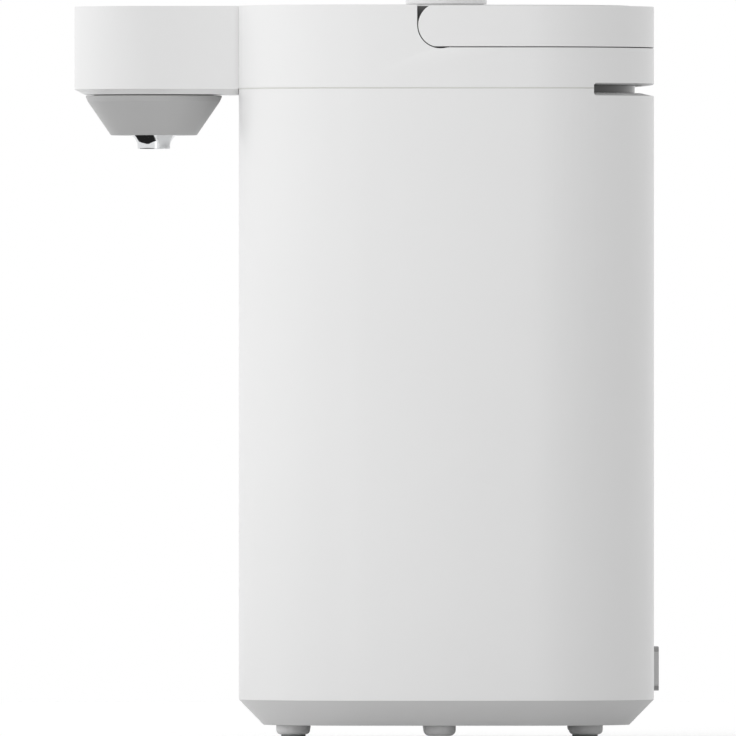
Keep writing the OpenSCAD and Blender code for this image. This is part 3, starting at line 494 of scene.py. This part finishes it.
# Rounds the corners of a profile: radii gives each corner's radius, 0 for a sharp one
def rounded(profile, radii, steps=5):
    points = []
    for i, corner in enumerate(profile):
        here = Vector(corner)
        radius = radii[i]
        if radius == 0:
            points.append(tuple(here))
            continue
        before = (Vector(profile[i - 1]) - here).normalized()
        after = (Vector(profile[i + 1]) - here).normalized()
        half = before.angle(after) / 2
        start, end = here + before * radius / math.tan(half), here + after * radius / math.tan(half)
        middle = here + (before + after).normalized() * radius / math.sin(half)
        first, sweep = start - middle, (end - middle).angle_signed(start - middle)
        for step in range(steps + 1):
            points.append(tuple(middle + Matrix.Rotation(sweep * step / steps, 2) @ first))
    return points


# Sweeps the faces of a bmesh upwards into a solid, and returns the raised points
def raiseFaces(bm, faces, height):
    raised = [part for part in bmesh.ops.extrude_face_region(bm, geom=faces)["geom"]
              if isinstance(part, bmesh.types.BMVert)]
    bmesh.ops.translate(bm, verts=raised, vec=(0, 0, height))
    return raised


# the water outlet: grey cone and polished tip

coneSizes = {"rimHeight": 18.6 * mm, "lipHeight": 2.9 * mm, "lipTaper": 1.3 * mm, "lowRadius": 20.1 * mm,
             "wall": 2.0 * mm, "floor": 2.2 * mm, "roof": 1.6 * mm, "neckRadius": 28.0 * mm,
             "collarRadius": 6.7 * mm, "lowEdge": 0.8 * mm, "rimEdge": 0.5 * mm, "neckEdge": 0.25 * mm,
             "topEdge": 0.15 * mm, "steps": 128}


def makeCone():
    size = coneSizes
    topRadius = (coneHigh.x - coneLow.x) / 2
    low, rim, top = coneLow.z, coneLow.z + size["rimHeight"], coneHigh.z
    floor, neck, wall = low + size["floor"], size["neckRadius"], size["wall"]
    profile = [(size["collarRadius"], floor), (size["collarRadius"], low), (size["lowRadius"], low),
               (topRadius - size["lipTaper"], rim - size["lipHeight"]), (topRadius, rim), (neck, rim),
               (neck, top), (neck - wall, top), (neck - wall, rim - size["roof"]),
               (size["lowRadius"] - wall, floor), (size["collarRadius"], floor)]
    radii = [0, 0, size["lowEdge"], size["lowEdge"], size["rimEdge"], size["neckEdge"], size["topEdge"],
             size["topEdge"], 0, 0, 0]
    bm = turned(bmesh.new(), rounded(profile, radii), (coneAxis, 0), size["steps"])
    return keep("outletCone", bm, finishes[finishOfNode["nozzle_cone"]], bodyOfNode["nozzle_cone"],
                ["nozzle_cone"])


tipSizes = {"bore": 2.4 * mm, "mouthHeight": 1.2 * mm, "mouthEdge": 0.4 * mm, "radius": 7.7 * mm,
            "rim": 0.5 * mm, "flare": 2.8 * mm, "flareHeight": 4.8 * mm, "flareCurve": 1.9, "flareSteps": 10,
            "height": 6.4 * mm, "seatRadius": 6.6 * mm, "seatHeight": 5 * mm, "stemRadius": 3.5 * mm,
            "steps": 96, "crease": 40}


def makeTip():
    size = tipSizes
    low, seat = tipLow.z, tipLow.z + size["height"]
    mouth, shoulder = low + size["mouthHeight"], seat + size["seatHeight"]
    shares = [step / size["flareSteps"] for step in range(size["flareSteps"] + 1)]
    flare = [(size["radius"] + size["flare"] * share ** size["flareCurve"],
              seat - size["flareHeight"] * (1 - share)) for share in shares]
    profile = [(size["bore"], mouth), (size["radius"] - 2 * size["rim"], low), (size["radius"], low),
               flare[0]]
    outside = rounded(profile, [0, size["mouthEdge"], size["rim"], 0])
    inside = [(size["seatRadius"], seat), (size["seatRadius"], shoulder), (size["stemRadius"], shoulder),
              (size["stemRadius"], tipHigh.z), (size["bore"], tipHigh.z), (size["bore"], mouth)]
    bm = turned(bmesh.new(), outside[:-1] + flare + inside, (coneAxis, 0), size["steps"])
    return keep("outletTip", bm, finishes["polished_steel"], bodyOfNode["nozzle_tip"],
                ["nozzle_tip"], crease=size["crease"])


makeCone()
makeTip()
print("water outlet made")


# feet, pads and stubs under the base

footSizes = {"radius": 7.95 * mm, "lowEdge": 2.2 * mm, "topEdge": 0.3 * mm, "socketDepth": 1.2 * mm,
             "socketEdge": 0.2 * mm, "padRadius": 5.6 * mm, "padPlay": 0.1 * mm, "padEdge": 0.5 * mm,
             "groove": (3.4 * mm, 4.2 * mm), "grooveDepth": 0.5 * mm, "grooveEdge": 0.15 * mm,
             "grooveFloorEdge": 0.1 * mm, "stubRadius": 7.6 * mm, "stubEdge": 3.0 * mm, "stubArc": 8,
             "steps": 64}


def footPlaces():
    for x in (feetLow.x + footSizes["radius"], feetHigh.x - footSizes["radius"]):
        for y in (feetLow.y + footSizes["radius"], feetHigh.y - footSizes["radius"]):
            yield x, y


def turnedAt(places, points):
    bm = bmesh.new()
    for centre in places:
        turned(bm, points, centre, footSizes["steps"])
    return bm


def makeFeet():
    size = footSizes
    low, top = feetLow.z, feetHigh.z
    socket, floor = size["padRadius"] + size["padPlay"], low + size["socketDepth"]
    profile = [(0, floor), (socket, floor), (socket, low), (size["radius"], low), (size["radius"], top),
               (0, top)]
    points = rounded(profile, [0, 0, size["socketEdge"], size["lowEdge"], size["topEdge"], 0])
    keep("feetMoulding", turnedAt(footPlaces(), points), finishes[finishOfNode["feet"]], bodyOfNode["feet"],
         ["feet"])


def makePads():
    size = footSizes
    low, top = padsLow.z, padsHigh.z
    inner, outer = size["groove"]
    deep = low + size["grooveDepth"]
    profile = [(0, top), (size["padRadius"], top), (size["padRadius"], low), (outer, low), (outer, deep),
               (inner, deep), (inner, low), (0, low)]
    radii = [0, 0, size["padEdge"], size["grooveEdge"], size["grooveFloorEdge"], size["grooveFloorEdge"],
             size["grooveEdge"], 0]
    keep("rubberPads", turnedAt(footPlaces(), rounded(profile, radii)), finishes["rubber"],
         bodyOfNode["foot_pads"], ["foot_pads"])


def makeStubs():
    size = footSizes
    centreX = (stubsLow.x + stubsHigh.x) / 2
    places = [(centreX, y) for y in (stubsLow.y + size["stubRadius"], stubsHigh.y - size["stubRadius"])]
    profile = [(0, stubsLow.z), (size["stubRadius"], stubsLow.z), (size["stubRadius"], stubsHigh.z),
               (0, stubsHigh.z)]
    points = rounded(profile, [0, size["stubEdge"], size["topEdge"], 0], size["stubArc"])
    keep("tippingStubs", turnedAt(places, points), finishes[finishOfNode["side_stubs"]],
         bodyOfNode["side_stubs"], ["side_stubs"])


makeFeet()
makePads()
makeStubs()
print("feet made")


# four pan-head screws that close the base, in line with the feet

screwSizes = {"headRadius": 3.1 * mm, "headHeight": 1.4 * mm, "headEdge": 0.9 * mm, "headCurve": 0.855 * mm,
              "washerRadius": 4.2 * mm, "washerHeight": 0.4 * mm, "washerEdge": 0.15 * mm,
              "slotLength": 3.6 * mm, "slotWidth": 0.8 * mm, "slotDepth": 0.8 * mm, "across": 30 * mm,
              "steps": 36}


# A pan head and its washer, with a cross recess in the head's flat, open towards -Z
def makeScrewHead(bm, centre):
    size = screwSizes
    reach, half = size["slotLength"] / 2, size["slotWidth"] / 2
    seat = centre.z - size["washerHeight"]
    low, flat = seat - size["headHeight"], size["headRadius"] - size["headEdge"]
    arms = [(half, half), (half, reach), (-half, reach), (-half, half), (-reach, half), (-reach, -half),
            (-half, -half), (-half, -reach), (half, -reach), (half, -half), (reach, -half), (reach, half)]
    cross = [bm.verts.new((centre.x + x, centre.y + y, low)) for x, y in arms]
    rim = bmesh.ops.create_circle(bm, segments=size["steps"], radius=flat,
                                  matrix=Matrix.Translation((centre.x, centre.y, low)))["verts"]
    crossEdges = [bm.edges.new((cross[i - 1], cross[i])) for i in range(len(cross))]
    rimEdges = list({edge for v in rim for edge in v.link_edges})
    bmesh.ops.bridge_loops(bm, edges=crossEdges + rimEdges)
    walls = bmesh.ops.extrude_edge_only(bm, edges=crossEdges)["geom"]
    inner = [part for part in walls if isinstance(part, bmesh.types.BMVert)]
    bmesh.ops.translate(bm, verts=inner, vec=(0, 0, size["slotDepth"]))
    bmesh.ops.contextual_create(bm, geom=[edge for edge in walls if isinstance(edge, bmesh.types.BMEdge)
                                          and all(v in inner for v in edge.verts)])
    profile = [(flat, low), (size["headRadius"], low), (size["headRadius"], seat),
               (size["washerRadius"], seat), (size["washerRadius"], centre.z), (0, centre.z)]
    points = rounded(profile, [0, size["headCurve"], 0, size["washerEdge"], 0, 0])
    turned(bm, points, (centre.x, centre.y), size["steps"])


def makeBaseScrews():
    bm = bmesh.new()
    for x in sorted({place[0] for place in footPlaces()}):
        for side in (-1, 1):
            makeScrewHead(bm, Vector((x, side * screwSizes["across"], baseLow.z)))
    keep("baseScrews", bm, finishes["screw_steel"], bodyOfNode["base_cover"])


makeBaseScrews()


# the button's return spring, copied with a mesh of its own; the real spring shortens as the button goes down

springSizes = {"travel": 3.0 * mm, "seat": 0.05 * mm, "crease": 50}


def makeSpring():
    bm = bmesh.new()
    bm.from_mesh(frame["nodes"]["button_spring"].data)
    spring = keep("returnSpring", bm, finishes["screw_steel"], bodyOfNode["button_spring"],
                  ["button_spring"], crease=springSizes["crease"])
    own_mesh(spring)


makeSpring()


# a sealing cord that lies in the groove between the shell and the top housing

seamSizes = {"tongue": 3.0 * mm, "gap": 0.6 * mm, "inset": 0.53 * mm, "play": 0.03 * mm,
             "softEdge": 0.08 * mm, "segments": 2, "upright": 0.9}


# The shell's upward faces at the groove, drawn in at both sides and raised to fill it
def makeSeamCord():
    size = seamSizes
    level = shellHigh.z - size["tongue"]
    bm = mergedCopy("outer_shell")
    away = [face for face in bm.faces if face.normal.z < size["upright"]
            or abs(face.calc_center_median().z - level) > size["play"]]
    bmesh.ops.delete(bm, geom=away, context="FACES")
    bmesh.ops.dissolve_limit(bm, angle_limit=meshLimits["flatAngle"], verts=bm.verts, edges=bm.edges)
    border = bmesh.ops.inset_region(bm, faces=bm.faces[:], thickness=size["inset"],
                                    use_even_offset=True)["faces"]
    bmesh.ops.delete(bm, geom=border, context="FACES")
    raiseFaces(bm, bm.faces[:], size["gap"] - 2 * size["play"])
    bmesh.ops.translate(bm, verts=bm.verts, vec=(0, 0, size["play"]))
    keep("seamCord", bm, finishes["silicone"], bodyOfNode["outer_shell"],
         softEdge=size["softEdge"], segments=size["segments"])


makeSeamCord()
print("screws, spring and seam cord made")


# shapes for marks, each a thin solid lying level with its underside at centre

dropShape = {"steps": 40, "stretch": 0.75, "pinch": 0.55}


def flatRing(bm, centre, outer, width, thickness, steps=64):
    inner, low = outer - width, centre[2]
    high = low + thickness
    profile = [(inner, low), (outer, low), (outer, high), (inner, high), (inner, low)]
    return turned(bm, profile, centre[:2], steps)


def flatBar(bm, centre, length, width, thickness):
    bar = bmesh.ops.create_cube(bm, size=1)["verts"]
    bmesh.ops.scale(bm, verts=bar, vec=(length, width, thickness))
    bmesh.ops.translate(bm, verts=bar, vec=(centre[0], centre[1], centre[2] + thickness / 2))


# A water drop, its point towards +X
def flatDrop(bm, centre, radius, thickness):
    disc = bmesh.ops.create_circle(bm, cap_ends=True, segments=dropShape["steps"], radius=radius)["verts"]
    for v in disc:
        toward = max(0, v.co.x / radius)
        v.co.x += radius * dropShape["stretch"] * toward ** 3
        v.co.y *= 1 - dropShape["pinch"] * toward ** 2
    upper = raiseFaces(bm, list({face for v in disc for face in v.link_faces}), thickness)
    bmesh.ops.translate(bm, verts=disc + upper, vec=centre)


# Numbers drawn flat about the origin and then moved by the matrix
def letters(bm, words, height, thickness, matrix, resolution=3):
    curve = bpy.data.curves.new("letters", "FONT")
    curve.body, curve.size, curve.extrude, curve.resolution_u = words, height, thickness / 2, resolution
    curve.align_x, curve.align_y = "CENTER", "CENTER"
    thing = bpy.data.objects.new("letters", curve)
    mesh = bpy.data.meshes.new_from_object(thing)
    mesh.transform(matrix)
    bm.from_mesh(mesh)
    for block, stock in ((thing, bpy.data.objects), (mesh, bpy.data.meshes), (curve, bpy.data.curves)):
        stock.remove(block)


# keys, padlock, numbers and lamps on the touch panel

panelMarks = {"thickness": 0.05 * mm, "line": 0.45 * mm, "pourKey": 8.0 * mm, "pourFromFront": 17 * mm,
              "dropRadius": 3.0 * mm, "dropBack": 0.8 * mm, "smallKey": 4.6 * mm, "keySpread": 15.5 * mm,
              "keyFromFront": 37 * mm, "signLength": 4.0 * mm, "lockBody": (3.2 * mm, 4.4 * mm),
              "shackleRadius": 1.7 * mm, "shackleBack": 1.6 * mm, "shackleSteps": 32,
              "steps": ("40", "60", "80", "98"), "stepSpread": 11 * mm, "stepFromFront": 51 * mm,
              "stepHeight": 4.2 * mm, "lampFromStep": 4.6 * mm, "lampRadius": 0.9 * mm, "lampSteps": 24}


def makeKeys(ink):
    size = panelMarks
    thick, line = size["thickness"], size["line"]
    front, top = panelLow.x, panelHigh.z
    pour, key = front + size["pourFromFront"], front + size["keyFromFront"]
    flatRing(ink, (pour, 0, top), size["pourKey"], line, thick)
    flatDrop(ink, (pour - size["dropBack"], 0, top), size["dropRadius"], thick)
    for side in (-1, 1):
        centre = (key, side * size["keySpread"], top)
        flatRing(ink, centre, size["smallKey"], line, thick)
        flatBar(ink, centre, line, size["signLength"], thick)
        if side > 0:
            flatBar(ink, centre, size["signLength"], line, thick)
    flatBar(ink, (key, 0, top), *size["lockBody"], thick)
    flatRing(ink, (key + size["shackleBack"], 0, top), size["shackleRadius"], line, thick,
             size["shackleSteps"])


def makePanelMarks():
    size = panelMarks
    thick, step = size["thickness"], panelLow.x + size["stepFromFront"]
    ink, lamps = bmesh.new(), bmesh.new()
    makeKeys(ink)
    half = (len(size["steps"]) - 1) / 2
    for i, words in enumerate(size["steps"]):
        place = Vector((step, (half - i) * size["stepSpread"], panelHigh.z + thick / 2))
        letters(ink, words, size["stepHeight"], thick,
                Matrix.Translation(place) @ Matrix.Rotation(-math.pi / 2, 4, "Z"))
        disc = bmesh.ops.create_cone(lamps, cap_ends=True, segments=size["lampSteps"], depth=thick,
                                     radius1=size["lampRadius"], radius2=size["lampRadius"])["verts"]
        bmesh.ops.translate(lamps, verts=disc, vec=place - Vector((size["lampFromStep"], 0, 0)))
    keep("panelInk", ink, finishes["panel_ink"], bodyOfNode["touch_panel"])
    keep("panelLamps", lamps, finishes["panel_lamp"], bodyOfNode["touch_panel"])


makePanelMarks()


# level marks etched in the pot

litreVolume = 0.001  # cubic metres
levelMarks = {"litres": 4, "full": 4.4, "shortTick": 7 * mm, "longTick": 13 * mm, "fullTick": 31.2 * mm,
              "tickWidth": 0.8 * mm, "tickSteps": 8, "depth": 0.12 * mm, "sunk": 0.02 * mm,
              "numberHeight": 9 * mm, "numberGap": 7 * mm, "potFloor": 1 * mm, "rimBand": 0.1 * mm}


# A tick that follows the round wall at the rear of the pot
def wallTick(bm, radius, height, length):
    size = levelMarks
    inner, outer = radius - size["depth"], radius + size["sunk"]
    turn = Matrix.Rotation(-length / radius / 2, 3, "Z")
    axis = Vector((bodyAxis, 0, 0))
    verts = [bm.verts.new(turn @ Vector((r, 0, height + side * size["tickWidth"] / 2)) + axis)
             for r, side in ((inner, -1), (outer, -1), (outer, 1), (inner, 1))]
    face = bm.faces.new(verts)
    bmesh.ops.spin(bm, geom=[face, *face.verts, *face.edges], cent=axis, axis=(0, 0, 1),
                   angle=length / radius, steps=size["tickSteps"], use_duplicate=False)


def makeLevelMarks():
    size = levelMarks
    points = [v.co for v in frame["nodes"]["inner_pot"].data.vertices]
    radius = min(math.hypot(p.x - bodyAxis, p.y) for p in points if p.z > potHigh.z - size["rimBand"])
    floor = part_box("heater_plate")[1].z + size["potFloor"]
    litreHeight = litreVolume / (math.pi * radius ** 2)
    upright = Matrix.Rotation(-math.pi / 2, 4, "Z") @ Matrix.Rotation(math.pi / 2, 4, "X")
    bm = bmesh.new()
    for half in range(1, 2 * size["litres"] + 1):
        height = floor + half / 2 * litreHeight
        wallTick(bm, radius, height, size["shortTick"] if half % 2 else size["longTick"])
        if half % 2 == 0:
            place = (bodyAxis + radius - size["depth"] / 2, 0, height + size["numberGap"])
            letters(bm, str(half // 2), size["numberHeight"], size["depth"],
                    Matrix.Translation(place) @ upright)
    wallTick(bm, radius, floor + size["full"] * litreHeight, size["fullTick"])
    keep("levelMarks", bm, finishes["etched_mark"], bodyOfNode["inner_pot"])


makeLevelMarks()
print("marks made")


# camera: looking along +Y at the pot's side, from so far that the view is almost parallel

cameraSizes = {"frameWidth": 0.3449, "aimX": 0.0007, "aimHeight": 0.17365, "lens": 1500, "sensor": 36,
               "clipNear": 0.1, "clipFar": 3}


def makeCamera():
    size = cameraSizes
    data = bpy.data.cameras.new("sideCamera")
    data.lens = size["lens"]
    data.sensor_width = size["sensor"]
    away = size["frameWidth"] * size["lens"] / size["sensor"]
    data.clip_start, data.clip_end = size["clipNear"], size["clipFar"] * away
    camera = bpy.data.objects.new("sideCamera", data)
    camera.location = (size["aimX"], -away, size["aimHeight"])
    camera.rotation_euler = (math.pi / 2, 0, 0)
    bpy.context.scene.collection.objects.link(camera)
    bpy.context.scene.camera = camera


makeCamera()


# floor, lamp and background

roomLook = {"floor": {"radius": 1.6, "steps": 96, "colour": (0.76, 0.76, 0.76), "patches": 3,
                      "spread": 0.01, "lift": 0.36},
            "fill": 0.205, "leftFill": 0.435, "sideFill": 0.83,
            "mat": {"tone": 0.02, "height": 2 * mm,
                    "outline": ((-0.03, -0.20), (-0.55, -0.66), (-0.76, -0.50), (-0.65, 0.40), (-0.10, 0.40),
                                (-0.10, 0.0))},
            "lamp": {"at": (-0.03, -0.26, 0.18), "size": (0.06, 1.6), "power": 0.30,
                     "aim": (0.0, -0.09, 0.18)}}


# 1 for rays from the camera, from mirrors and through glass
def seenShare(board):
    camera, glossy, through = board.add("ShaderNodeLightPath",
                                        output=("Is Camera Ray", "Is Glossy Ray", "Is Transmission Ray"))
    return camera.maths("MAXIMUM", camera.maths("MAXIMUM", camera, glossy), through)


def makeStage(name, bm, finish):
    mesh = bpy.data.meshes.new(name)
    bm.to_mesh(mesh)
    bm.free()
    mesh.materials.append(finish)
    thing = bpy.data.objects.new(name, mesh)
    bpy.context.scene.collection.objects.link(thing)
    return thing


# Pale paper, clear from behind so that the pot can be seen from below
def makeFloor():
    look = roomLook["floor"]
    board = Board("floorPaper")
    patches = board.noise(board.place(), look["patches"], detail=2)
    tone = board.wander(patches, look["colour"], 1 - look["spread"], 1 + look["spread"])
    matt = board.add("ShaderNodeBsdfDiffuse", None, {"Color": tone, "Roughness": 0.0})
    glow = board.add("ShaderNodeEmission", None, {"Strength": seenShare(board) * look["lift"]})
    both = board.add("ShaderNodeAddShader", None, {0: matt, 1: glow})
    clear = board.add("ShaderNodeBsdfTransparent")
    below = board.add("ShaderNodeNewGeometry", output="Backfacing")
    either = board.add("ShaderNodeMixShader", None, {0: below, 1: both, 2: clear})
    board.add("ShaderNodeOutputMaterial", None, {"Surface": either}, output=None)
    bm = bmesh.new()
    bmesh.ops.create_circle(bm, cap_ends=True, segments=look["steps"], radius=look["radius"])
    makeStage("floor", bm, board.material)


# A dark mat beside the pot that only shows in reflections
def makeMat():
    look = roomLook["mat"]
    board = Board("darkMat")
    glow = board.add("ShaderNodeEmission", None, {"Strength": look["tone"]})
    board.add("ShaderNodeOutputMaterial", None, {"Surface": glow}, output=None)
    bm = bmesh.new()
    corners = [bm.verts.new((*place, look["height"])) for place in look["outline"]]
    bmesh.ops.contextual_create(bm, geom=corners)
    mat = makeStage("darkMat", bm, board.material)
    mat.visible_camera = mat.visible_diffuse = mat.visible_shadow = mat.visible_transmission = False


def makeLamp():
    look = roomLook["lamp"]
    data = bpy.data.lights.new("stripLamp", "AREA")
    data.shape = "RECTANGLE"
    data.size, data.size_y = look["size"]
    data.energy = look["power"]
    light = bpy.data.objects.new("stripLamp", data)
    light.location = look["at"]
    toward = Vector(look["aim"]) - Vector(look["at"])
    light.rotation_euler = toward.to_track_quat("-Z", "Y").to_euler()
    light.visible_camera = False
    bpy.context.scene.collection.objects.link(light)


# White to the eye. As light on surfaces it is strongest from the pot's front, less from its rear, and
# weakest in between
def makeWorld():
    look = roomLook
    world = bpy.data.worlds.new("studio")
    world.use_nodes = True
    bpy.context.scene.world = world
    board = Board("studio", world.node_tree)
    direction = board.add("ShaderNodeTexCoord", output="Generated")
    across = board.add("ShaderNodeSeparateXYZ", None, {0: direction}, output="X")
    fill = (1 - across) * look["leftFill"] + across * across * look["sideFill"] + look["fill"]
    seen = seenShare(board)
    sky = board.add("ShaderNodeBackground", None,
                    {"Color": (1, 1, 1, 1), "Strength": seen + (1 - seen) * fill})
    board.add("ShaderNodeOutputWorld", None, {"Surface": sky}, output=None)


makeFloor()
makeMat()
makeLamp()
makeWorld()
bpy.context.scene.view_settings.view_transform = "Standard"
print("camera and lamp set")


# the CAD nodes that keep their shape and get softer edges

softEdges = {
    "outer_shell": 0.7 * mm, "top_housing": 0.9 * mm, "beak_cover": 0.5 * mm, "handle_bail": 1.0 * mm,
    "lid_cover": 0.5 * mm, "base_cover": 0.6 * mm, "vent_liner": 0.3 * mm, "inlet_body": 0.6 * mm,
    "touch_panel": 0.3 * mm, "steam_cap": 0.3 * mm, "lid_base": 0.4 * mm, "lid_plate": 0.3 * mm,
    "steam_duct": 0.3 * mm, "lock_bolt": 0.4 * mm, "lid_button": 0.25 * mm, "inner_pot": 0.3 * mm,
    "pot_gasket": 0.3 * mm, "lid_seal": 0.2 * mm, "inlet_pins": 0.4 * mm, "hinge_pin": 0.3 * mm,
    "handle_pins": 0.3 * mm, "button_clip": 0.1 * mm, "transformer": 0.6 * mm, "relay": 0.5 * mm,
    "control_board": 0.1 * mm, "power_board": 0.1 * mm, "inlet_rails": 0.5 * mm, "pivot_plates": 0.2 * mm,
}
notchGap = 4 * mm  # between the rear slot and the nearest cut
wallCuts = {"outer_shell": [linerLow.z - notchGap, linerLow.z - 3 * notchGap],
            "top_housing": [linerHigh.z + notchGap]}

for node, softEdge in softEdges.items():
    refine(node, softEdge, cuts=wallCuts.get(node, ()))

for node, thing in frame["nodes"].items():
    thing.data.materials.clear()
    thing.data.materials.append(finishes[finishOfNode[node]])
print("nodes finished")
